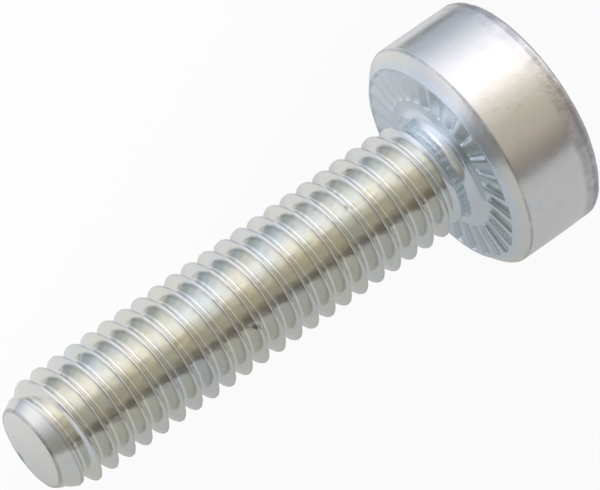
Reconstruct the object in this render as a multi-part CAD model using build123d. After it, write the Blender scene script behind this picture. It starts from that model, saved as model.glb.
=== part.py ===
from build123d import *
import math
import os

# One machine screw, rolled from a single piece of steel and lying on its side.
# Millimetres throughout. The screw is built upright about Z, with the bearing face
# of the head at z = 0, the head above it and the shank below, and is laid down last.

# Shank with a coarse right-hand thread
thread_d = 5.93          # over the crests
thread_depth = 0.575     # from the crests to the bottom of the groove
pitch = 1.0
thread_start_angle = -66.8  # where a crest line starts round the axis
runout_length = 1.0      # over which the thread grows to its full height
shank_length = 24.75     # bearing face to the end of the point
neck_step = 0.295        # how far the plain blank by the head lies below the crests
neck_length = 1.0        # bearing face to the first trace of thread
neck_fillet = 0.55       # between the neck and the bearing face
point_d = 4.26           # flat end face
point_angle = 28.0       # slope of the point, from the axis

# Head
head_d = 12.0
head_height = 5.1
rim_bevel_radial = 0.7   # bevel between the bearing face and the side of the head
rim_bevel_height = 0.62
crown_radius = 0.45      # rounded edge between the side and the top

# Locking teeth pressed into the bearing face
tooth_count = 28
tooth_inner_r = 3.55
tooth_outer_r = 5.22
tooth_depth = 0.16
tooth_land = 0.22        # width of each ridge left at full height, at the outer end
tooth_turn = 4.5         # where the teeth start round the axis

# Drive: six-lobe socket in the top of the head
socket_across_lobes = 5.6
socket_across_flutes = 3.95
lobe_radius = 0.45
socket_depth = 2.4
socket_cone_angle = 60.0  # drill point at the bottom, from the axis
socket_lead = 0.2        # small countersink at the mouth

rest_turn = -130.3       # which side of the screw is up when it lies still

head_r = head_d / 2
crest_r = thread_d / 2
root_r = crest_r - thread_depth
neck_r = crest_r - neck_step
point_r = point_d / 2
slope = math.tan(math.radians(point_angle))
point_length = (crest_r - point_r) / slope


def turned(outline):
    """Full turn about Z of a closed outline given as (radius, height) points."""
    face = make_face(Polyline([(r, 0, z) for r, z in outline], close=True))
    return revolve(face, axis=Axis.Z)


def rounded(centre_r, centre_z, radius, start, stop, steps):
    """Points along a rounded corner of an outline, angles in degrees."""
    angles = [math.radians(start + (stop - start) * i / steps) for i in range(steps + 1)]
    return [(centre_r + radius * math.cos(a), centre_z + radius * math.sin(a)) for a in angles]


# Head with the neck fillet, turned from one outline.
bearing_outer_r = head_r - rim_bevel_radial
fillet_end_r = neck_r + neck_fillet
head = turned(
    [(0, head_height)]
    + rounded(head_r - crown_radius, head_height - crown_radius, crown_radius, 90, 0, 4)
    + [(head_r, rim_bevel_height), (bearing_outer_r, 0)]
    + rounded(fillet_end_r, -neck_fillet, neck_fillet, 90, 180, 3)
    + [(0, -neck_fillet)]
)

# Locking teeth. Each is a ramp that falls away from a ridge and ends at the steep
# side of the next.
tooth_step = 2 * math.pi / tooth_count


def tooth_section(radius):
    """Triangle of one groove, square to the radius, at the given radius."""
    share = radius / tooth_outer_r
    groove = tooth_step * radius - tooth_land * share
    steep = 0.2 * groove
    depth = tooth_depth * (0.6 + 0.4 * share)
    rise = 0.05 + depth
    over = groove * rise / depth - groove
    plane = Plane(origin=(radius, 0, 0), x_dir=(0, 1, 0), z_dir=(1, 0, 0))
    low = groove / 2 - steep
    points = [
        (-groove / 2 - 0.8 * over, 0.05),
        (low, -depth),
        (groove / 2 + 0.2 * over, 0.05),
    ]
    return plane * make_face(Polyline([(x, -y) for x, y in points], close=True))


groove = loft([tooth_section(tooth_inner_r), tooth_section(tooth_outer_r)], ruled=True)
for index in range(tooth_count):
    head -= Rot(0, 0, tooth_turn + index * 360 / tooth_count) * groove

# Six-lobe socket. The lobes and the flutes between them meet tangent to each other.
lobe_centre = socket_across_lobes / 2 - lobe_radius
inner = socket_across_flutes / 2
cos_30 = math.cos(math.radians(30))
flute_centre = (lobe_centre**2 - (lobe_radius - inner) ** 2) / (
    2 * (lobe_centre * cos_30 - (inner - lobe_radius))
)


def polar(radius, degrees):
    return Vector(radius * math.cos(math.radians(degrees)), radius * math.sin(math.radians(degrees)))


socket_outline = []
for index in range(6):
    at = index * 60
    lobe = polar(lobe_centre, at)
    after = polar(flute_centre, at + 30)
    before = polar(flute_centre, at - 30)
    leave = lobe + (after - lobe).normalized() * lobe_radius
    enter = lobe + (before - lobe).normalized() * lobe_radius
    next_lobe = polar(lobe_centre, at + 60)
    next_enter = next_lobe + (after - next_lobe).normalized() * lobe_radius
    socket_outline.append(ThreePointArc(enter, polar(socket_across_lobes / 2, at), leave))
    socket_outline.append(ThreePointArc(leave, polar(inner, at + 30), next_enter))
socket_face = make_face(Curve() + socket_outline)
socket_floor = head_height - socket_depth
socket = Pos(0, 0, socket_floor) * extrude(socket_face, amount=socket_depth + 1)
drill_r = inner
socket += turned(
    [
        (0, socket_floor + 0.2),
        (drill_r, socket_floor + 0.2),
        (drill_r, socket_floor),
        (0, socket_floor - drill_r / math.tan(math.radians(socket_cone_angle))),
    ]
)
mouth_r = socket_across_lobes / 2 + socket_lead / 2
socket += turned(
    [
        (0, head_height - socket_lead - 0.5),
        (mouth_r - socket_lead - 0.5, head_height - socket_lead - 0.5),
        (mouth_r + 0.5, head_height + 0.5),
        (0, head_height + 0.5),
    ]
)
head -= socket

# Thread, built turn by turn from the two helical flanks of its profile. The flats left
# by rolling on its crests and roots, about 0.1 mm, are left to the visual model. It runs
# past both ends of the shank and is trimmed there.
profile = [(crest_r, 0), (root_r, pitch / 2), (crest_r, pitch)]
turns = math.ceil(shank_length / pitch) + 3
thread_bottom = -shank_length - 1.5 * pitch


def helix(point, turn):
    """One turn of the helix traced by a point of the profile."""
    radius, height = profile[point]
    base = thread_bottom + height + turn * pitch
    return Edge.make_helix(pitch, pitch, radius, center=(0, 0, base)).rotate(
        Axis.Z, thread_start_angle
    )


def end_faces(turn, edge):
    """Closing faces of an end: the profile plane and a spiral ramp to the axis."""
    base = thread_bottom + turn * pitch
    start = math.radians(thread_start_angle)
    corners = [(0, profile[0][1])] + profile + [(0, profile[-1][1])]
    step = [Vector(r * math.cos(start), r * math.sin(start), base + z) for r, z in corners]
    ramp = Face.make_surface_from_curves(Edge.make_line(step[0], step[-1]), edge)
    return [Face(Wire.make_polygon(step, close=True)), ramp]


flanks = [
    Face.make_surface_from_curves(helix(point, turn), helix(point + 1, turn))
    for turn in range(turns)
    for point in range(len(profile) - 1)
]
last = len(profile) - 1
ends = end_faces(0, helix(0, 0)) + end_faces(turns, helix(last, turns - 1))
thread = Solid(Shell(flanks + ends))

# The thread is kept inside the outline of the shank: the neck, the cone over which it
# grows from the blank, and the slope of the point. The outline stands clear of the crests.
clear_r = crest_r + 0.3
growth = (crest_r - neck_r) / runout_length
outline = turned(
    [
        (0, 0),
        (neck_r, 0),
        (neck_r, -neck_length),
        (clear_r, -neck_length - (clear_r - neck_r) / growth),
        (clear_r, -shank_length + (clear_r - point_r) / slope),
        (point_r, -shank_length),
        (0, -shank_length),
    ]
)
shank = thread & outline

# Its groove runs out against a core that swells up to the neck.
swell = runout_length * (neck_r - root_r) / (crest_r - neck_r)
core = turned(
    [
        (0, 0),
        (neck_r, 0),
        (neck_r, -neck_length),
        (root_r, -neck_length - swell),
        (0, -neck_length - swell),
    ]
)
shank = shank + core
screw = head + shank

# Laid down as it rests on a level surface: on the edge of the bearing face's rim and
# on the last full crest before the point, with the head towards +X.
span = rim_bevel_height + shank_length - point_length
tilt = math.degrees(math.atan((head_r - crest_r) / span))
screw = Rot(0, 90 - tilt, 0) * Rot(0, 0, rest_turn) * screw
box = screw.bounding_box()
screw = Pos(-box.center().X, -box.center().Y, -box.min.Z) * screw

os.makedirs("parts", exist_ok=True)
export_step(screw, "parts/screw.step")
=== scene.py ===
import math

import bpy
import numpy as np
from mathutils import Matrix, Vector


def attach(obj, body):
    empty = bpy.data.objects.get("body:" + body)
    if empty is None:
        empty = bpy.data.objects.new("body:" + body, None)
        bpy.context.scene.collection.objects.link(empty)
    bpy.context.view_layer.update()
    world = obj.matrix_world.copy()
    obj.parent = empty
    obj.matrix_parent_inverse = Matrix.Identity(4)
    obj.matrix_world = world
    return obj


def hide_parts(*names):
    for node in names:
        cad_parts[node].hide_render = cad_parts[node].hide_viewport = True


# A zinc-plated machine screw lying on its side. The visual model is one closed surface,
# built upright about Z in millimetres with the bearing face of the head at z = 0,
# the head above it and the shank below, and then laid down where the solid lies.

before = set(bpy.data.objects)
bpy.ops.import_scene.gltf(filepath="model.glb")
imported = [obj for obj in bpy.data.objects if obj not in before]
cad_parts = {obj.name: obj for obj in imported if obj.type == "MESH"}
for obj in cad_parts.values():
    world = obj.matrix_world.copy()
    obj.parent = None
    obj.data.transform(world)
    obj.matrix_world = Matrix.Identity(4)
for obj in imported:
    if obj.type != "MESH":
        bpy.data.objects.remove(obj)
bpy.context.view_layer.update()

MM = 0.001
TAU = 2 * math.pi

# Sizes, the same as the solid's.
CREST_R = 2.965
NECK_R = 2.67
PITCH = 1.0
LENGTH = 24.75            # bearing face to the end of the point
POINT_R = 2.13
POINT_SLOPE = math.tan(math.radians(28))
FILLET = 0.55
HEAD_R = 6.0
HEAD_HEIGHT = 5.1
BEVEL_R = 0.7
BEVEL_Z = 0.62
CROWN = 0.45
TEETH = 28
TOOTH_IN = 3.55
TOOTH_OUT = 5.22
TOOTH_DEPTH = 0.16
TOOTH_LAND = 0.22
TOOTH_TURN = math.radians(4.5)
SOCKET_LOBES = 5.6
SOCKET_FLUTES = 3.95
LOBE_R = 0.45
SOCKET_DEPTH = 2.4
SOCKET_CONE = math.radians(60)
SOCKET_LEAD = 0.2
REST_TURN = math.radians(-130.3)

# One crest line passes at this angle round the axis and this height.
CREST_ANGLE = math.radians(-14.93)
CREST_Z = -2.106

# Where the screw lies: on the head's rim and the last full crest. The place is that of
# the centre of the bearing face.
POINT_LENGTH = (CREST_R - POINT_R) / POINT_SLOPE
TILT = math.atan((HEAD_R - CREST_R) / (BEVEL_Z + LENGTH - POINT_LENGTH))
LAY = Matrix.Rotation(math.pi / 2 - TILT, 3, "Y") @ Matrix.Rotation(REST_TURN, 3, "Z")
BEARING = Vector((9.5298, 0.0, 5.8734)) * MM

# Fine shape of the thread, which the solid leaves out.
FLANK = math.radians(30)
CREST_FLAT = 0.08
CREST_EASE = 0.055        # blend between the crest's flat and the flanks
CREST_UNEVEN = 0.006
SEAM_DEPTH = 0.008        # line along the crest, where the rolled metal meets
SEAM_HALF = 0.02
ROOT_ROUND = 0.135        # radius at the bottom of the groove
ROOT_EDGE = PITCH / 2 - ROOT_ROUND * math.cos(FLANK)
RUNOUT_START = -0.72      # the thread grows out of the neck from here
RUNOUT_END = -1.85
POINT_EASE = 0.05
SHANK_UNEVEN = 0.004

# Dents: angle in degrees, height, radius and depth.
SHANK_DENTS = {
    "notch": (11.6, -13.1, 0.15, 0.05),
    "notch_tail": (5.0, -13.25, 0.10, 0.03),
    "spec": (62.0, -13.35, 0.10, 0.07),
    "flank_chip": (-30.0, -6.2, 0.10, 0.05),
    "crest_chip": (120.0, -17.8, 0.13, 0.05),
    "far_chip": (210.0, -9.6, 0.15, 0.06),
}

# Fine shape of the end face.
END_DISH = 0.035
END_UNEVEN = 0.006
END_LIFT = 0.012          # the face lies this far inside the solid's
RIM_ROUND = 0.07
RIM_LEAN = math.radians(62)
RIM_R = POINT_R - 0.045   # where the rounding of its rim starts
RIM_LIFT = 0.008

# Fine shape of the head. Its crown is worn, and pressed flatter on one side.
TOOTH_STEEP = 0.2         # share of a groove that its steep side takes
TOOTH_HEIGHTS = (0.82, 1.08)  # range of the share of the full depth that a tooth has
TOOTH_REACHES = (-0.05, 0.06)  # range of how far past the outer radius a tooth ends
BEARING_LIFT = 0.004
BEARING_UNEVEN = 0.003
SIDE_INSET = 0.004
SIDE_UNEVEN = 0.002
WEAR = 0.010
WEAR_UNEVEN = 0.8
WEAR_START = 3.85         # the side is worn from this height, and fully from the next
WEAR_FULL = 4.2
PRESS_ANGLE = math.radians(38)
PRESS_WIDTH = math.radians(24)
PRESS_DEPTH = 0.16
PRESS_START = 3.2
PRESS_FULL = 4.8
CROWN_DROP = 0.008
TOP_DROP = 0.012
TOP_UNEVEN = 0.003
LIP_DROP = 0.02
SOCKET_DRAFT = 0.01
DRILL_INSET = 0.05

# Rows and columns of points. The rows of the thread are at shares of a turn from its crest,
# and those that round the two edges of the bevel are at distances (out, up) from them.
SHANK_COLUMNS = 168
ROW_OFFSETS = [0.020, 0.040, 0.060, 0.090, 0.235, 0.375, 0.405, 0.445]
THREAD_LOW = -LENGTH + 0.11
THREAD_HIGH = -FILLET - 0.01
ROW_GAP = 0.018           # least distance of a helical row from either end ring
BEARING_ROWS = (3.44, 3.50, 3.56, 3.62, 3.9, 4.2, 4.5, 4.8, 5.06, 5.13, 5.18, 5.23, 5.27)
BEVEL_FOOT = ((-0.01, 0.006), (0.03, 0.020), (0.07, 0.052))
BEVEL_HEAD = ((-0.085, -0.065), (-0.040, -0.012), (-0.012, 0.06))
SIDE_ROWS = (0.8, 1.2, 1.8, 2.4, 3.0, 3.5, 3.8, 3.92, 4.02, 4.12, 4.24, 4.36, 4.48)
TOP_ROWS = (5.3, 4.9, 4.4, 3.9, 3.4, 3.05)
END_ROWS = np.linspace(0.25, POINT_R - 0.10, 8)


def smooth(x, low, high):
    t = np.clip((x - low) / (high - low), 0, 1)
    return t * t * (3 - 2 * t)


def soft_min(a, b, k):
    h = np.clip(0.5 + 0.5 * (b - a) / k, 0, 1)
    return b + (a - b) * h - k * h * (1 - h)


def soft_max(a, b, k):
    return -soft_min(-a, -b, k)


def waves(seed, count, turns, cycles):
    """A smooth seeded unevenness over angle and height, about -1 to 1."""
    rng = np.random.default_rng(seed)
    about = rng.integers(1, turns + 1, count)
    along = rng.uniform(-cycles, cycles, count)
    phase = rng.uniform(0, TAU, count)

    def value(angle, z):
        total = 0
        for k, f, p in zip(about, along, phase):
            total = total + np.sin(k * angle + f * z * TAU + p)
        return total / math.sqrt(count)

    return value


def angle_gap(a, b):
    return (a - b + math.pi) % TAU - math.pi


class Surface:
    """Points and faces, filled from the point of the screw to the socket's end."""

    def __init__(self):
        self.points = []
        self.faces = []
        self.count = 0

    def ring(self, angle, radius, z):
        angle, radius, z = np.broadcast_arrays(angle, radius, z)
        self.points.append(np.stack([radius * np.cos(angle), radius * np.sin(angle), z], 1))
        start = self.count
        self.count += len(angle)
        return np.arange(start, self.count)

    def band(self, low, high):
        quads = np.stack([low, np.roll(low, -1), np.roll(high, -1), high], 1)
        self.faces.extend(quads.tolist())

    def next_ring(self, previous, angle, radius, z):
        """A ring joined to the one before it."""
        row = self.ring(angle, radius, z)
        self.band(previous, row)
        return row

    def bridge(self, low, low_angle, high, high_angle):
        """Triangles between two rings with different columns."""
        i = j = 0
        while i < len(low) or j < len(high):
            a, b = low[i % len(low)], high[j % len(high)]
            next_a = low_angle[(i + 1) % len(low)] + TAU * ((i + 1) // len(low))
            next_b = high_angle[(j + 1) % len(high)] + TAU * ((j + 1) // len(high))
            if j >= len(high) or (i < len(low) and next_a <= next_b):
                self.faces.append([a, low[(i + 1) % len(low)], b])
                i += 1
            else:
                self.faces.append([a, high[(j + 1) % len(high)], b])
                j += 1

    def close(self, ring, z, first):
        """A fan of triangles from a ring to a point on the axis."""
        centre = self.ring(np.array([0.0]), 0, z)[0]
        for a, b in zip(ring, np.roll(ring, -1)):
            self.faces.append([centre, b, a] if first else [a, b, centre])


# Point and shank.
shank_angle = np.arange(SHANK_COLUMNS) * TAU / SHANK_COLUMNS
crest_waves = waves(3, 24, 40, 1.3)
shank_waves = waves(5, 20, 14, 0.6)


def add_end_face(surface):
    """End face of the point, a little dished and uneven, and its rounded rim."""
    face_waves = waves(11, 14, 5, 0)
    rows = []
    for radius in END_ROWS:
        dish = END_DISH * (1 - (radius / POINT_R) ** 2)
        uneven = END_UNEVEN * face_waves(shank_angle, 0) * radius / POINT_R
        rows.append(surface.ring(shank_angle, radius, -LENGTH + END_LIFT + dish + uneven))
    for share in (0.25, 0.5, 0.75, 1.0):
        lean = RIM_LEAN * share
        out = RIM_R + RIM_ROUND * math.sin(lean)
        up = -LENGTH + RIM_LIFT + RIM_ROUND * (1 - math.cos(lean))
        rows.append(surface.ring(shank_angle, out, up))
    for low, high in zip(rows[:-1], rows[1:]):
        surface.band(low, high)
    surface.close(rows[0], -LENGTH + END_LIFT + END_DISH, True)
    return rows[-1]


def groove(gap):
    """Depth of the thread below its crest, at a distance along the axis from the crest."""
    flank = (gap - CREST_FLAT / 2) / math.tan(FLANK)
    edge_depth = (ROOT_EDGE - CREST_FLAT / 2) / math.tan(FLANK)
    across = np.clip(PITCH / 2 - gap, 0, ROOT_ROUND)
    root = edge_depth + np.sqrt(ROOT_ROUND**2 - across**2) - ROOT_ROUND * math.sin(FLANK)
    depth = np.where(gap > ROOT_EDGE, root, flank)
    depth = soft_max(depth, np.zeros_like(gap), CREST_EASE)
    return depth + SEAM_DEPTH * np.exp(-((gap / SEAM_HALF) ** 2))


def shank_radius(angle, z):
    turn = (z - CREST_Z) / PITCH - (angle - CREST_ANGLE) / TAU
    gap = np.abs(turn - np.round(turn)) * PITCH
    crest = CREST_R - CREST_UNEVEN + CREST_UNEVEN * crest_waves(angle, z)
    thread = crest - groove(gap)
    thread = NECK_R + (thread - NECK_R) * smooth(z, RUNOUT_START, RUNOUT_END)
    point = POINT_R + POINT_SLOPE * (LENGTH + z)
    radius = soft_min(thread, point, POINT_EASE)
    radius = radius + SHANK_UNEVEN * shank_waves(angle, z)
    for at, height, size, depth in SHANK_DENTS.values():
        across = angle_gap(angle, math.radians(at)) * CREST_R
        radius = radius - depth * np.exp(-(across**2 + (z - height) ** 2) / size**2)
    return np.minimum(radius, CREST_R)


def add_thread(surface, rim):
    """The thread. Rows of points follow the helix, so that each of its edges is a row."""
    low_radius = shank_radius(shank_angle, np.full(SHANK_COLUMNS, THREAD_LOW))
    low_ring = surface.next_ring(rim, shank_angle, low_radius, THREAD_LOW)
    # A few turns to spare are started at each end, and only the rows in between are kept.
    turn_rows = [0.0] + ROW_OFFSETS + [0.5] + [1 - offset for offset in reversed(ROW_OFFSETS)]
    first_turn = math.floor((THREAD_LOW - CREST_Z) / PITCH) - 2
    turn_count = math.ceil((THREAD_HIGH - THREAD_LOW) / PITCH) + 4
    shifts = [PITCH * (first_turn + m + u) for m in range(turn_count) for u in turn_rows]
    row_shift = np.array(shifts)
    columns = []
    for angle in shank_angle:
        z = CREST_Z + row_shift + PITCH * (angle - CREST_ANGLE) / TAU
        inside = (z > THREAD_LOW + ROW_GAP) & (z < THREAD_HIGH - ROW_GAP)
        angles = np.full(inside.sum(), angle)
        index = np.full(len(z), -1)
        index[inside] = surface.ring(angles, shank_radius(angles, z[inside]), z[inside])
        columns.append(index)
    high_ring = surface.ring(shank_angle, NECK_R, THREAD_HIGH)

    # Past the last column the first one comes again, one turn further along.
    per_turn = len(turn_rows)
    wrapped = np.full(len(row_shift), -1)
    wrapped[: len(wrapped) - per_turn] = columns[0][per_turn:]
    columns.append(wrapped)
    for i in range(SHANK_COLUMNS):
        here, there = columns[i], columns[i + 1]
        after = (i + 1) % SHANK_COLUMNS
        both = (here >= 0) & (there >= 0)
        rows = np.nonzero(both[:-1] & both[1:])[0]
        quads = np.stack([here[rows], there[rows], there[rows + 1], here[rows + 1]], 1)
        surface.faces.extend(quads.tolist())
        left, right = np.nonzero(here >= 0)[0], np.nonzero(there >= 0)[0]
        start, stop = max(left[0], right[0]), min(left[-1], right[-1])
        up, down = there[right[0] : start + 1], here[left[0] : start + 1][::-1]
        surface.faces.append([low_ring[i], low_ring[after]] + list(up) + list(down))
        down, up = here[stop : left[-1] + 1][::-1], there[stop : right[-1] + 1]
        surface.faces.append(list(down) + list(up) + [high_ring[after], high_ring[i]])
    return high_ring


def add_fillet(surface, previous):
    """Fillet between the neck and the bearing face."""
    for share in np.linspace(0, 1, 7)[1:-1]:
        lean = share * math.pi / 2
        radius = NECK_R + FILLET - FILLET * math.cos(lean)
        previous = surface.next_ring(previous, shank_angle, radius, -FILLET + FILLET * math.sin(lean))
    return previous


# Head. Each locking tooth falls from a ridge down a steep side and climbs a long ramp to
# the next ridge. The columns of points follow its edges.
tooth_step = TAU / TEETH
groove_angle = tooth_step - TOOTH_LAND / TOOTH_OUT
land_angle = tooth_step - groove_angle
half = groove_angle / 2
steep = TOOTH_STEEP * groove_angle
steep_columns = [-half + share * steep for share in (0.55, 0.93, 1.12, 2.0, 3.0, 4.0)]
ridge_columns = [half - 0.012, half + 0.004, half + 0.3 * land_angle, half + 0.65 * land_angle]
edge_columns = [-half - 0.0020, -half + 0.0030]
tooth_columns = TOOTH_TURN - np.array(edge_columns + steep_columns + ridge_columns)
head_angle = np.sort(np.concatenate([k * tooth_step + tooth_columns for k in range(TEETH)]))
tooth_number = np.round((head_angle - TOOTH_TURN) / tooth_step).astype(int) % TEETH
rng = np.random.default_rng(21)
tooth_height = rng.uniform(*TOOTH_HEIGHTS, TEETH)[tooth_number]
tooth_reach = rng.uniform(*TOOTH_REACHES, TEETH)[tooth_number]
side_waves = waves(41, 18, 9, 0.5)
worn_waves = waves(43, 40, 60, 3.0)
top_waves = waves(51, 12, 5, 0.3)


def tooth_depth(radius):
    """Depth of the teeth's grooves along a ring. They are shallower towards the axis."""
    inside = (half + TOOTH_TURN - head_angle) % tooth_step
    down = np.clip(inside / steep, 0, 1)
    back = np.clip((groove_angle - inside) / (groove_angle - steep), 0, 1)
    shape = np.where(inside < steep, down, back)
    share = radius / TOOTH_OUT
    reach = TOOTH_OUT + tooth_reach
    inner_wall = smooth(radius, TOOTH_IN - 0.06, TOOTH_IN + 0.05)
    outer_wall = 1 - smooth(radius, reach - 0.07, reach + 0.05)
    return TOOTH_DEPTH * (0.6 + 0.4 * share) * tooth_height * shape * (inner_wall * outer_wall)


def add_bearing_face(surface, fillet_row):
    """Bearing face with its locking teeth."""
    bearing_waves = waves(31, 16, 9, 0)
    previous = surface.ring(head_angle, NECK_R + FILLET + 0.06, BEARING_LIFT)
    surface.bridge(fillet_row, shank_angle, previous, head_angle)
    lift = BEARING_LIFT + BEARING_UNEVEN * bearing_waves(head_angle, 0)
    for radius in BEARING_ROWS:
        previous = surface.next_ring(previous, head_angle, radius, tooth_depth(radius) + lift)
    return previous


def pressed(z):
    """How far the head is pressed in at a height."""
    share = np.exp(-((angle_gap(head_angle, PRESS_ANGLE) / PRESS_WIDTH) ** 2))
    return PRESS_DEPTH * share * smooth(z, PRESS_START, PRESS_FULL)


def add_side(surface, previous):
    """Rim bevel, side and crown of the head."""
    foot = HEAD_R - BEVEL_R
    profile = [(foot + out, up) for out, up in BEVEL_FOOT]
    profile += [(foot + BEVEL_R * share, BEVEL_Z * share) for share in (0.3, 0.5, 0.7)]
    profile += [(HEAD_R + out, BEVEL_Z + up) for out, up in BEVEL_HEAD]
    profile += [(HEAD_R - SIDE_INSET, z) for z in SIDE_ROWS]
    for radius, z in profile:
        uneven = 1 + WEAR_UNEVEN * worn_waves(head_angle, z)
        wear = WEAR * smooth(z, WEAR_START, WEAR_FULL) * uneven
        radius = radius + SIDE_UNEVEN * side_waves(head_angle, z) - wear - pressed(z)
        previous = surface.next_ring(previous, head_angle, np.minimum(radius, HEAD_R), z)
    for share in np.linspace(0, 1, 8)[1:]:
        lean = share * math.pi / 2
        radius = HEAD_R - CROWN + CROWN * math.cos(lean)
        z = HEAD_HEIGHT - CROWN + CROWN * math.sin(lean)
        wear = WEAR * (1 + WEAR_UNEVEN * worn_waves(head_angle, z)) * math.cos(lean)
        drop = CROWN_DROP * math.sin(lean) * (1 + WEAR_UNEVEN * worn_waves(head_angle, radius))
        previous = surface.next_ring(previous, head_angle, radius - wear - pressed(z), z - drop)
    return previous


# Six-lobe socket. The lobes and the flutes between them meet tangent to each other.
lobe_centre = SOCKET_LOBES / 2 - LOBE_R
inner = SOCKET_FLUTES / 2
cos_30 = math.cos(math.radians(30))
flute_centre = (lobe_centre**2 - (LOBE_R - inner) ** 2) / (
    2 * (lobe_centre * cos_30 - (inner - LOBE_R))
)
flute_r = flute_centre - inner


def socket_radius(angle):
    """Distance from the axis to the socket's wall."""
    at = np.abs((angle + math.radians(30)) % math.radians(60) - math.radians(30))
    lobe_half = np.sqrt(np.maximum(LOBE_R**2 - (lobe_centre * np.sin(at)) ** 2, 0))
    lobe = lobe_centre * np.cos(at) + lobe_half
    turn = math.radians(30) - at
    flute_half = np.sqrt(np.maximum(flute_r**2 - (flute_centre * np.sin(turn)) ** 2, 0))
    flute = flute_centre * np.cos(turn) - flute_half
    touch_share = LOBE_R / (LOBE_R + flute_r)
    touch = math.atan2(
        0.5 * flute_centre * touch_share,
        lobe_centre + (flute_centre * cos_30 - lobe_centre) * touch_share,
    )
    return np.where(at < touch, lobe, flute)


def add_top(surface, previous):
    """Flat top of the head, and the drive socket with its lead and drill cone."""
    mouth = SOCKET_LOBES / 2 + SOCKET_LEAD / 2
    for radius in TOP_ROWS + (mouth + 0.03,):
        z = HEAD_HEIGHT - TOP_DROP + TOP_UNEVEN * top_waves(head_angle, radius)
        previous = surface.next_ring(previous, head_angle, radius, z)
    wall = socket_radius(head_angle)
    lip = HEAD_HEIGHT - LIP_DROP
    for share in (0.04, 0.5, 0.94):
        radius = mouth + (wall - mouth) * share
        previous = surface.next_ring(previous, head_angle, radius, lip - (mouth - radius))
    lead_end = lip - (mouth - wall)
    floor_z = HEAD_HEIGHT - SOCKET_DEPTH
    for share in (0.03, 0.25, 0.5, 0.75, 0.97):
        z = lead_end + (floor_z - lead_end) * share
        previous = surface.next_ring(previous, head_angle, wall - SOCKET_DRAFT * share, z)
    drill_r = inner - DRILL_INSET
    for radius in (wall - 0.04, inner + (wall - inner) * 0.5, drill_r):
        previous = surface.next_ring(previous, head_angle, radius, floor_z)
    cone_depth = drill_r / math.tan(SOCKET_CONE)
    for share in (0.06, 0.35, 0.65, 0.93):
        z = floor_z - cone_depth * share
        previous = surface.next_ring(previous, head_angle, drill_r * (1 - share), z)
    surface.close(previous, floor_z - cone_depth, False)


surface = Surface()
row = add_end_face(surface)
row = add_thread(surface, row)
row = add_fillet(surface, row)
row = add_bearing_face(surface, row)
row = add_side(surface, row)
add_top(surface, row)
points = np.concatenate(surface.points) * MM @ np.array(LAY).T + np.array(BEARING)
mesh = bpy.data.meshes.new("screw_surface")
mesh.from_pydata(points.tolist(), [], [[int(corner) for corner in face] for face in surface.faces])
mesh.validate()
mesh.shade_smooth()
mesh.set_sharp_from_angle(angle=math.radians(38))
mesh.update()
body = bpy.data.objects.new("screw_body", mesh)
bpy.context.scene.collection.objects.link(body)
bpy.context.view_layer.update()


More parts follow.
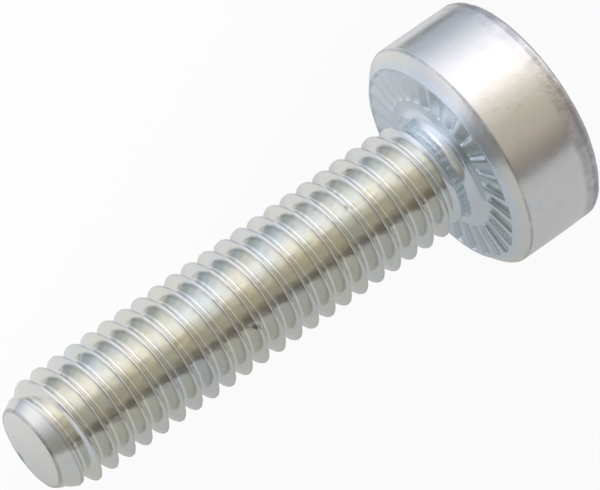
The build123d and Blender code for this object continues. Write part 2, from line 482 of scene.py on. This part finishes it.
class Nodes:
    """A node tree in the making: each call adds a node and gives what comes out of it."""

    def __init__(self, tree):
        self.tree = tree
        tree.nodes.clear()

    def add(self, kind, **settings):
        node = self.tree.nodes.new(kind)
        for name, value in settings.items():
            setattr(node, name, value)
        return node

    def link(self, source, target):
        self.tree.links.new(source, target)

    def fill(self, slot, value):
        """A number or a colour is set, and the output of another node is linked."""
        if isinstance(value, (int, float, tuple)):
            slot.default_value = value
        else:
            self.link(value, slot)

    def split(self, vector):
        node = self.add("ShaderNodeSeparateXYZ")
        self.link(vector, node.inputs["Vector"])
        return [node.outputs[axis] for axis in "XYZ"]

    def noise(self, where, scale, detail, rough):
        node = self.add("ShaderNodeTexNoise")
        node.inputs["Scale"].default_value = scale
        node.inputs["Detail"].default_value = detail
        node.inputs["Roughness"].default_value = rough
        self.link(where, node.inputs["Vector"])
        return node.outputs["Fac"]

    def scaled(self, where, scale, turn=(0, 0, 0)):
        node = self.add("ShaderNodeMapping")
        node.inputs["Scale"].default_value = scale
        node.inputs["Rotation"].default_value = turn
        self.link(where, node.inputs["Vector"])
        return node.outputs["Vector"]

    def span(self, value, from_low, from_high, to_low, to_high):
        """A smooth step from one value to another, held at both ends."""
        node = self.add("ShaderNodeMapRange", interpolation_type="SMOOTHSTEP", clamp=True)
        limits = {"From Min": from_low, "From Max": from_high, "To Min": to_low, "To Max": to_high}
        for name, number in limits.items():
            node.inputs[name].default_value = number
        self.link(value, node.inputs["Value"])
        return node.outputs["Result"]

    def window(self, value, rise, fall, unit=1.0, rest=0.0):
        """From 0 to 1 over the rise, and from 1 to the rest over the fall."""
        rising = self.span(value, rise[0] * unit, rise[1] * unit, 0.0, 1.0)
        falling = self.span(value, fall[0] * unit, fall[1] * unit, 1.0, rest)
        return self.times(rising, falling)

    def math(self, operation, *values):
        node = self.add("ShaderNodeMath", operation=operation)
        for slot, value in zip(node.inputs, values):
            self.fill(slot, value)
        return node.outputs["Value"]

    def plus(self, a, b):
        return self.math("ADD", a, b)

    def minus(self, a, b):
        return self.math("SUBTRACT", a, b)

    def times(self, a, b):
        return self.math("MULTIPLY", a, b)

    def mix(self, share, a, b):
        node = self.add("ShaderNodeMix", data_type="RGBA")
        colours = [slot for slot in node.inputs if slot.type == "RGBA"]
        self.fill(node.inputs["Factor"], share)
        self.fill(colours[0], a)
        self.fill(colours[1], b)
        return [slot for slot in node.outputs if slot.type == "RGBA"][0]

    def bump(self, height, strength, distance, normal=None):
        node = self.add("ShaderNodeBump")
        node.inputs["Strength"].default_value = strength
        node.inputs["Distance"].default_value = distance
        self.link(height, node.inputs["Height"])
        if normal is not None:
            self.link(normal, node.inputs["Normal"])
        return node.outputs["Normal"]

    def glow(self, colour):
        node = self.add("ShaderNodeEmission")
        self.fill(node.inputs["Color"], colour)
        return node.outputs["Emission"]

    def blend(self, share, a, b):
        """Two shaders mixed."""
        node = self.add("ShaderNodeMixShader")
        self.link(share, node.inputs["Fac"])
        self.link(a, node.inputs[1])
        self.link(b, node.inputs[2])
        return node.outputs["Shader"]

    def finish(self, shader, kind="ShaderNodeOutputMaterial"):
        self.link(shader, self.add(kind).inputs["Surface"])


def new_material(name, owner):
    """A material on a mesh, and its empty node tree."""
    material = bpy.data.materials.new(name)
    material.use_nodes = True
    owner.materials.append(material)
    return material.node_tree


class ScrewNodes(Nodes):
    """Nodes that know the screw's upright coordinates, in metres and radians."""

    def __init__(self, tree):
        super().__init__(tree)
        upright = self.add("ShaderNodeMapping", vector_type="TEXTURE")
        upright.inputs["Location"].default_value = BEARING
        upright.inputs["Rotation"].default_value = LAY.to_euler()
        self.link(self.add("ShaderNodeTexCoord").outputs["Object"], upright.inputs["Vector"])
        self.place = upright.outputs["Vector"]
        x, y, self.height = self.split(self.place)
        self.radius = self.math("SQRT", self.plus(self.math("POWER", x, 2.0), self.math("POWER", y, 2.0)))
        self.turn = self.math("ARCTAN2", y, x)
        self.patchy = self.noise(self.place, 1500.0, 5.0, 0.7)
        self.fine_film = self.noise(self.place, 1900.0, 4.0, 0.6)

    def in_patches(self, low, high, least, most):
        """A share that varies in patches, from the least to the most."""
        return self.span(self.patchy, low, high, least, most)


# Colours of the plate: metal under a thin film and what has dulled it, and painted shade at the feet of
# the teeth and beside the crests.
FILM_YELLOW = (0.765, 0.765, 0.675, 1)
FILM_BLUE = (0.725, 0.765, 0.735, 1)
BEARING_TINT = (0.69, 0.755, 0.77, 1)
SIDE_TINT = (0.745, 0.755, 0.72, 1)
SPECK = (0.64, 0.65, 0.63, 1)
GRIME = (0.48, 0.48, 0.46, 1)
WORN = (0.49, 0.48, 0.46, 1)
CROWN_EDGE = (0.40, 0.40, 0.40, 1)
BEVEL_EDGE = (0.40, 0.395, 0.40, 1)
# painted shade at the foot of each tooth's steep side
PAINTED_TOOTH_SHADE = (0.47, 0.55, 0.58, 1)
SCAR = (0.20, 0.195, 0.19, 1)
POINT_EDGE = (0.42, 0.42, 0.42, 1)
# painted shade beside each crest, on its side towards the head
PAINTED_CREST_SHADE = (0.45, 0.45, 0.43, 1)
DULL_CREST = (0.60, 0.60, 0.58, 1)

# Scars: angle in degrees, radius, height, size and strength.
SCARS = (
    (12, 2.78, -13.12, 0.24, 0.75),
    (62, 2.93, -13.35, 0.20, 0.80),
    (165, 2.16, -24.68, 0.50, 0.85),
)


WORN_TURN = 0.44          # the head is worn most round this angle, in radians


def worn_head(n):
    """Where the head is worn: the last millimetre of its side, most round one angle."""
    away = n.math("ABSOLUTE", n.minus(n.turn, WORN_TURN))
    worn_side = n.span(away, 0.50, 1.05, 1.0, 0.30)
    return n.times(n.span(n.height, 3.85 * MM, 4.25 * MM, 0.0, 1.0), worn_side)


def film_colour(n, near_bearing):
    """Passivation colour: a patchy film, faintly blue in places and yellow in others."""
    blue = n.span(n.noise(n.place, 420.0, 3.0, 0.5), 0.40, 0.66, 0.0, 1.0)
    colour = n.mix(blue, FILM_YELLOW, FILM_BLUE)
    colour = n.mix(near_bearing, colour, BEARING_TINT)
    side = n.span(n.height, 0.5 * MM, 0.7 * MM, 0.0, 1.0)
    colour = n.mix(n.times(side, 0.8), colour, SIDE_TINT)
    colour = n.mix(n.span(n.fine_film, 0.46, 0.74, 0.0, 0.30), colour, SPECK)
    smear = n.noise(n.scaled(n.place, (1.0, 1.0, 0.6)), 1100.0, 6.0, 0.7)
    return n.mix(n.span(smear, 0.60, 0.78, 0.0, 0.5), colour, GRIME)


def head_colour(n, colour, worn_patch):
    """Duller metal where the head is worn, and darker lines round the crown and along the top of the
    bevel.
    """
    colour = n.mix(n.times(worn_patch, 0.85), colour, WORN)
    crown_line = n.window(n.height, (4.50, 4.62), (4.72, 4.86), MM, 0.2)
    colour = n.mix(n.times(crown_line, n.in_patches(0.35, 0.6, 0.35, 0.85)), colour, CROWN_EDGE)
    off_edge = n.math("ABSOLUTE", n.minus(n.height, BEVEL_Z * MM))
    on_rim = n.span(n.radius, 5.8 * MM, 5.9 * MM, 0.0, 1.0)
    bevel_line = n.times(n.span(off_edge, 0.0, 0.10 * MM, 1.0, 0.0), on_rim)
    return n.mix(n.times(bevel_line, n.in_patches(0.35, 0.6, 0.3, 0.8)), colour, BEVEL_EDGE)


def tooth_foot_shade(n, colour, near_bearing):
    """Painted shade: a darker foot at the steep side of each locking tooth, where its groove falls into
    shade.
    """
    turns = n.math("DIVIDE", n.minus(TOOTH_TURN, n.turn), tooth_step)
    phase = n.math("FRACT", n.plus(turns, TEETH + 0.5))
    foot = n.window(phase, (0.03, 0.14), (0.16, 0.42))
    in_teeth = n.times(n.window(n.radius, (3.55, 3.7), (5.05, 5.25), MM), near_bearing)
    return n.mix(n.times(n.times(foot, in_teeth), 0.45), colour, PAINTED_TOOTH_SHADE)


def scar_colour(n, colour):
    """Small dark scars on the shank, and the dark rim of the end face."""
    marks = 0.0
    for degrees, at_radius, at_height, size, share in SCARS:
        angle = math.radians(degrees)
        away = n.add("ShaderNodeVectorMath", operation="DISTANCE")
        n.link(n.place, away.inputs[0])
        place = (at_radius * math.cos(angle) * MM, at_radius * math.sin(angle) * MM, at_height * MM)
        away.inputs[1].default_value = place
        scar = n.span(away.outputs["Value"], 0.4 * size * MM, size * MM, share, 0.0)
        marks = n.math("MAXIMUM", marks, scar)
    colour = n.mix(n.times(marks, n.in_patches(0.30, 0.55, 0.6, 1.0)), colour, SCAR)
    near_end = n.span(n.height, -24.68 * MM, -24.56 * MM, 1.0, 0.0)
    rim_line = n.times(n.span(n.radius, 2.00 * MM, 2.06 * MM, 0.0, 1.0), near_end)
    return n.mix(n.times(rim_line, n.in_patches(0.30, 0.6, 0.35, 0.8)), colour, POINT_EDGE)


def thread_colour(n, colour, on_thread, crest):
    """Painted shade beside the crests, on the side towards the head, and duller crests."""
    turns = n.minus(n.math("DIVIDE", n.height, PITCH * MM), n.math("DIVIDE", n.turn, TAU))
    phase = n.math("FRACT", n.plus(turns, 60.0 - CREST_Z / PITCH + CREST_ANGLE / TAU))
    crest_side_shade = n.times(n.window(phase, (0.035, 0.09), (0.12, 0.22)), on_thread)
    colour = n.mix(n.times(crest_side_shade, n.span(n.fine_film, 0.3, 0.6, 0.35, 0.75)), colour, PAINTED_CREST_SHADE)
    return n.mix(n.times(crest, 0.30), colour, DULL_CREST)


def zinc_plate():
    """The whole screw: bright plated metal, rougher on the head and where it's worn."""
    n = ScrewNodes(new_material("zinc_plate", mesh))
    near_bearing = n.window(n.height, (-2.2, -0.9), (0.22, 0.30), MM)
    worn = worn_head(n)
    worn_patch = n.times(worn, n.in_patches(0.38, 0.62, 0.35, 1.0))
    below_neck = n.span(n.height, -1.9 * MM, -1.5 * MM, 1.0, 0.0)
    on_thread = n.times(below_neck, n.span(n.height, -24.3 * MM, -23.9 * MM, 0.0, 1.0))
    crest = n.times(n.span(n.radius, 2.88 * MM, 2.93 * MM, 0.0, 1.0), on_thread)
    colour = film_colour(n, near_bearing)
    colour = head_colour(n, colour, worn_patch)
    # painted shade at the feet of the teeth
    colour = tooth_foot_shade(n, colour, near_bearing)
    colour = scar_colour(n, colour)
    # painted shade beside the crests
    colour = thread_colour(n, colour, on_thread, crest)

    on_head = n.span(n.height, -0.1 * MM, 0.05 * MM, 0.0, 1.0)
    roughness = n.span(n.noise(n.place, 900.0, 5.0, 0.65), 0.3, 0.7, 0.11, 0.18)
    for where, added in ((on_head, 0.10), (worn_patch, 0.14), (crest, 0.08)):
        roughness = n.plus(roughness, n.times(where, added))

    broad = n.noise(n.place, 1500.0, 3.0, 0.5)
    fine = n.noise(n.place, 5200.0, 6.0, 0.7)
    scratch = n.noise(n.scaled(n.place, (9.0, 9.0, 0.9), (0.2, 0.1, 0.3)), 900.0, 3.0, 0.6)
    pitted = n.times(worn, n.noise(n.place, 2600.0, 6.0, 0.75))
    normal = n.bump(broad, 0.16, 0.030 * MM)
    normal = n.bump(fine, 0.40, 0.011 * MM, normal)
    normal = n.bump(scratch, 0.15, 0.006 * MM, normal)
    normal = n.bump(pitted, 0.9, 0.050 * MM, normal)

    shader = n.add("ShaderNodeBsdfPrincipled")
    shader.inputs["Metallic"].default_value = 1.0
    n.link(colour, shader.inputs["Base Color"])
    n.link(roughness, shader.inputs["Roughness"])
    n.link(normal, shader.inputs["Normal"])
    n.finish(shader.outputs["BSDF"])


zinc_plate()
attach(body, "root")
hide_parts("screw")

# Floor: plain and white to the camera. What the screw reflects of it is darker on the near
# side of the screw than on the far side.
FLOOR_R = 1.2
FLOOR_SIDES = 96
FLOOR_DROP = -0.02 * MM
FLOOR_NEAR = (0.22, 0.22, 0.30, 1)
FLOOR_FAR = (0.78, 0.77, 0.82, 1)
WHITE = (1, 1, 1, 1)
SEEN_WHITE = 0.95         # the rest of what the camera sees is the floor's own shade
REFLECTED_WHITE = 0.50


def white_floor():
    floor_mesh = bpy.data.meshes.new("floor")
    turns = [k * TAU / FLOOR_SIDES for k in range(FLOOR_SIDES)]
    edge = [(FLOOR_R * math.cos(turn), FLOOR_R * math.sin(turn), FLOOR_DROP) for turn in turns]
    floor_mesh.from_pydata(edge, [], [list(range(FLOOR_SIDES))])
    floor = bpy.data.objects.new("floor", floor_mesh)
    bpy.context.scene.collection.objects.link(floor)

    n = Nodes(new_material("floor_white", floor_mesh))
    x, y, _ = n.split(n.add("ShaderNodeTexCoord").outputs["Object"])
    behind = n.minus(y, n.times(n.plus(x, 12 * MM), 0.5))
    far = n.span(behind, -4.0 * MM, 10.0 * MM, 0.0, 1.0)
    diffuse = n.add("ShaderNodeBsdfDiffuse")
    n.link(n.mix(far, FLOOR_NEAR, FLOOR_FAR), diffuse.inputs["Color"])
    ray = n.add("ShaderNodeLightPath")
    shiny = n.math("MAXIMUM", ray.outputs["Is Glossy Ray"], ray.outputs["Is Transmission Ray"])
    seen = n.times(ray.outputs["Is Camera Ray"], SEEN_WHITE)
    share = n.math("MAXIMUM", seen, n.times(shiny, REFLECTED_WHITE))
    n.finish(n.blend(share, diffuse.outputs["BSDF"], n.glow(WHITE)))


def card(name, corners, low, high, foot, top):
    """A standing strip from one height to another, its colour graded from foot to top.

    It is seen only as a reflection, and gives the metal a dark edge.
    """
    points = [(x * MM, y * MM, z * MM) for z in (low, high) for x, y in corners]
    count = len(corners)
    quads = [[i, i + 1, count + i + 1, count + i] for i in range(count - 1)]
    strip = bpy.data.meshes.new(name)
    strip.from_pydata(points, [], quads)
    item = bpy.data.objects.new(name, strip)
    bpy.context.scene.collection.objects.link(item)
    item.visible_camera = False
    item.visible_shadow = False
    item.visible_diffuse = False
    n = Nodes(new_material(name + "_grey", strip))
    z = n.split(n.add("ShaderNodeTexCoord").outputs["Object"])[2]
    share = n.span(z, low * MM, high * MM, 0.0, 1.0)
    n.finish(n.glow(n.mix(share, foot, top)))


white_floor()
card("card_head", [(22, 38), (60, 26)], 3.5, 10.5, (0.12, 0.14, 0.15, 1), (0.20, 0.22, 0.24, 1))
card("card_point", [(-44, -34), (-44, 8)], 0.0, 12.0, (0.16, 0.16, 0.18, 1), (0.30, 0.31, 0.34, 1))

# World: a studio whose walls and ceiling run along the screw. The angle is measured
# about X: 0 at the far horizon, 90 overhead and 180 at the near horizon. Each stop is
# that angle and the red, green and blue light that comes from there.
BESIDE = (
    (0.0, 0.46, 0.50, 0.58),
    (14.0, 0.53, 0.56, 0.66),
    (28.0, 0.70, 0.74, 0.86),
    (44.0, 1.03, 1.04, 1.18),
    (55.0, 1.24, 1.22, 1.36),
    (75.0, 1.58, 1.52, 1.66),
    (93.0, 1.46, 1.37, 1.38),
    (105.0, 0.97, 0.90, 0.85),
    (115.0, 0.79, 0.72, 0.63),
    (125.0, 0.61, 0.56, 0.48),
    (147.0, 0.55, 0.50, 0.44),
    (157.0, 0.46, 0.40, 0.35),
    (168.0, 0.30, 0.26, 0.25),
    (180.0, 0.30, 0.28, 0.28),
)
PAST_POINT = (
    (0.0, 0.74, 0.74, 0.88),
    (14.0, 0.78, 0.80, 0.93),
    (28.0, 0.93, 0.95, 1.10),
    (44.0, 1.12, 1.14, 1.28),
    (75.0, 1.06, 1.06, 1.20),
    (95.0, 0.76, 0.75, 0.86),
    (115.0, 0.56, 0.54, 0.58),
    (135.0, 0.42, 0.41, 0.42),
    (160.0, 0.33, 0.33, 0.33),
    (180.0, 0.36, 0.35, 0.34),
)
STUDIO_STRENGTH = 2.0     # the stops are stored as shares of this
HEAD_DARK = 0.36          # how much darker the near wall is towards the head
CEILING_DARK = 0.40       # how much darker the ceiling is straight past the point


def studio_ramp(n, along, stops):
    ramp = n.add("ShaderNodeValToRGB")
    elements = ramp.color_ramp.elements
    while len(elements) < len(stops):
        elements.new(0.5)
    for stop, (degrees, *light) in zip(elements, stops):
        stop.position = degrees / 180
        stop.color = [part / STUDIO_STRENGTH for part in light] + [1]
    n.link(along, ramp.inputs["Fac"])
    return ramp.outputs["Color"]


def studio():
    world = bpy.data.worlds.new("studio")
    bpy.context.scene.world = world
    world.use_nodes = True
    n = Nodes(world.node_tree)
    toward, y, z = n.split(n.add("ShaderNodeTexCoord").outputs["Generated"])
    along = n.math("DIVIDE", n.math("ARCTAN2", z, y), math.pi)
    past_point = n.span(toward, -0.50, -0.05, 1.0, 0.0)
    wall = n.mix(past_point, studio_ramp(n, along, BESIDE), studio_ramp(n, along, PAST_POINT))

    near_wall = n.window(along, (0.80, 0.88), (0.96, 1.0), rest=0.4)
    to_head = n.span(toward, 0.34, 0.56, 0.0, 1.0)
    dark_wall = n.times(n.times(to_head, near_wall), HEAD_DARK)
    overhead = n.span(along, 0.30, 0.42, 0.0, 1.0)
    dark_ceiling = n.times(overhead, n.span(toward, -0.95, -0.80, CEILING_DARK, 0.0))
    dimmer = n.minus(n.minus(1.0, dark_wall), dark_ceiling)
    lit = n.add("ShaderNodeVectorMath", operation="SCALE")
    n.link(wall, lit.inputs[0])
    n.link(dimmer, lit.inputs["Scale"])

    room = n.add("ShaderNodeBackground")
    n.link(lit.outputs["Vector"], room.inputs["Color"])
    room.inputs["Strength"].default_value = STUDIO_STRENGTH
    white = n.add("ShaderNodeBackground")
    white.inputs["Color"].default_value = WHITE
    seen = n.add("ShaderNodeLightPath").outputs["Is Camera Ray"]
    shader = n.blend(seen, room.outputs["Background"], white.outputs["Background"])
    n.finish(shader, "ShaderNodeOutputWorld")


studio()

# Camera: a long lens, fitted to the photo's outline. It stands off from a point of the
# axis just above the bearing face, by distances to its left, below and back, in millimetres.
AZIMUTH = math.radians(-38.93)
ELEVATION = math.radians(46.39)
LENS = 467.3
SENSOR = 36
AIM_RISE = 0.12
ASIDE = 6.7345
BELOW = 3.9258
DISTANCE = 368.51

ahead = Vector((-math.sin(AZIMUTH), math.cos(AZIMUTH), 0))
right = Vector((math.cos(AZIMUTH), math.sin(AZIMUTH), 0))
look = math.cos(ELEVATION) * ahead - math.sin(ELEVATION) * Vector((0, 0, 1))
above = right.cross(look)
axis = Vector((math.cos(TILT), 0, math.sin(TILT)))
aim = BEARING + AIM_RISE * MM * axis
camera_data = bpy.data.cameras.new("camera")
camera_data.sensor_fit = "HORIZONTAL"
camera_data.sensor_width = SENSOR
camera_data.lens = LENS
camera_data.clip_start = 0.01
camera = bpy.data.objects.new("camera", camera_data)
bpy.context.scene.collection.objects.link(camera)
camera.location = aim - (ASIDE * right + BELOW * above + DISTANCE * look) * MM
camera.rotation_euler = Matrix((right, above, -look)).transposed().to_euler()
bpy.context.scene.camera = camera

bpy.context.scene.view_settings.view_transform = "Standard"
